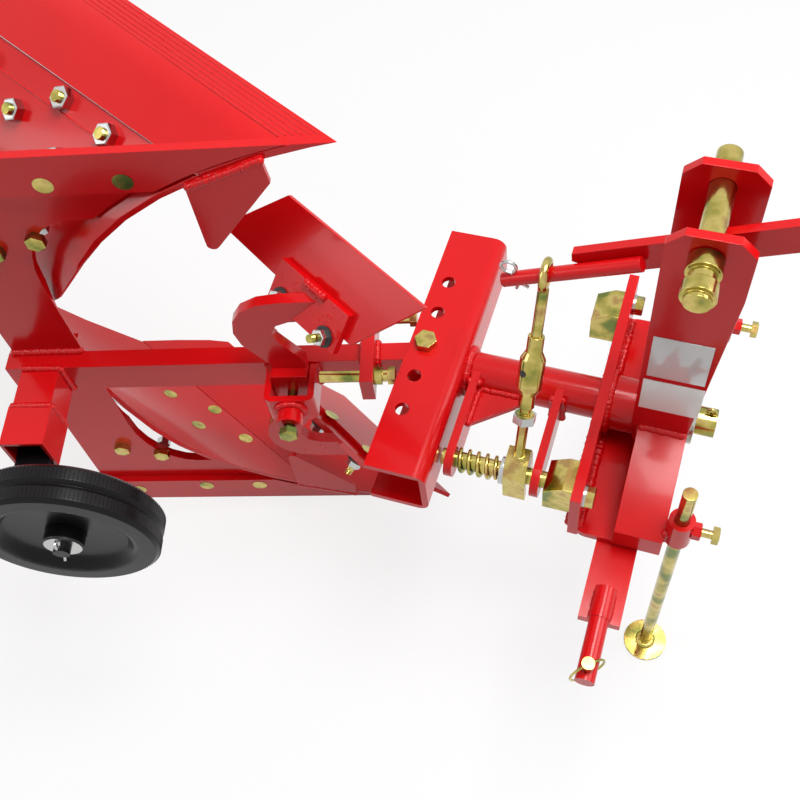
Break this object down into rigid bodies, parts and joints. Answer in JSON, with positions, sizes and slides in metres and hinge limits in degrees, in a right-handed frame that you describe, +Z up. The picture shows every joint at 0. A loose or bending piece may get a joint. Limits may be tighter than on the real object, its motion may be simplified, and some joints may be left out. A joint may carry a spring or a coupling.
{
  "type": "reversible single-furrow moldboard plough",
  "caption": "Mounted reversible plough with upper and lower mirrored moldboard bodies on a turnover beam, skimmers, depth wheel, turnover lever and stand.",
  "frame": {"origin": "middle of the two lower hitch pins' common axis", "axes": "+X forward along the turnover axis, +Y to the machine's left along the hitch pins, +Z up"},
  "size_m": [1.6455, 0.7057, 0.8225],
  "materials": {
    "red_paint": "gloss",
    "yellow_zinc": "satin",
    "silver_zinc": "satin",
    "black_paint": "semi-gloss"
  },
  "bodies": {
    "frame": {"base_plate": "red_paint", "cross_member": "red_paint", "stop_plate": "red_paint", "bearing_tube": "red_paint", "mast_left": "red_paint", "mast_right": "red_paint", "top_link_pin": "yellow_zinc", "lever_pin": "yellow_zinc", "stop_block_left": "yellow_zinc", "stop_block_right": "yellow_zinc", "clamp_tube_left": "red_paint", "clamp_tube_right": "red_paint", "hitch_arm_left": "red_paint", "hitch_arm_right": "red_paint"},
    "stand": {"stand_leg": "yellow_zinc", "stand_foot": "yellow_zinc"},
    "lever": {"lever_bar": "red_paint", "lever_rod": "red_paint"},
    "turnbuckle": {"turnbuckle_eye": "yellow_zinc", "turnbuckle_body": "yellow_zinc", "turnbuckle_fork": "yellow_zinc"},
    "rotor": {"turnover_shaft": "red_paint", "shaft_washer": "silver_zinc", "shaft_cap": "yellow_zinc", "adjusting_channel": "red_paint", "lug_front": "red_paint", "lug_rear": "red_paint", "lug_gusset": "red_paint", "latch_rod": "yellow_zinc", "latch_washers": "silver_zinc", "latch_spring": "yellow_zinc", "beam_pivot_bolt": "yellow_zinc", "beam": "red_paint", "set_bar": "red_paint", "set_bolts": "yellow_zinc", "skimmer_clamp": "red_paint", "skimmer_stem_upper": "red_paint", "skimmer_stem_lower": "red_paint", "skimmer_blade_upper": "red_paint", "skimmer_blade_lower": "red_paint", "leg_upper": "red_paint", "leg_lower": "red_paint", "moldboard_upper": "red_paint", "moldboard_lower": "red_paint", "share_upper": "red_paint", "share_lower": "red_paint", "shin_fin_upper": "red_paint", "shin_fin_lower": "red_paint", "landside_upper": "red_paint", "landside_lower": "red_paint", "rear_cross": "red_paint", "wheel_socket": "red_paint", "wheel_arm": "black_paint", "wheel_axle": "black_paint"},
    "wheel": {"depth_wheel": "black_paint", "wheel_hub": "black_paint"}
  },
  "joints": [
    {"name": "stand_slide", "type": "slide", "parent": "frame", "child": "stand", "axis": [0, 0, 1], "range_m": [-0.055, 0.31]},
    {"name": "lever_turn", "type": "hinge", "parent": "frame", "child": "lever", "pos_m": [0.024, 0, 0.3475], "axis": [0, 1, 0], "range_deg": [0, 15]},
    {"name": "turnbuckle_swing", "type": "hinge", "parent": "lever", "child": "turnbuckle", "pos_m": [-0.126, -0.013, 0.27627], "axis": [0, 1, 0], "range_deg": [-19.1, 0.1]},
    {"name": "turnover", "type": "hinge", "parent": "frame", "child": "rotor", "pos_m": [-0.034, 0, 0.044], "axis": [1, 0, 0], "range_deg": [0, 180]},
    {"name": "wheel_spin", "type": "hinge", "parent": "rotor", "child": "wheel", "pos_m": [-0.61825, -0.32711, 0.044], "axis": [-0.2756, 0.9613, 0], "continuous": true}
  ],
  "couplings": [
    {"joint": "turnbuckle_swing", "follows": "lever_turn", "ratio": -1.27}
  ]
}
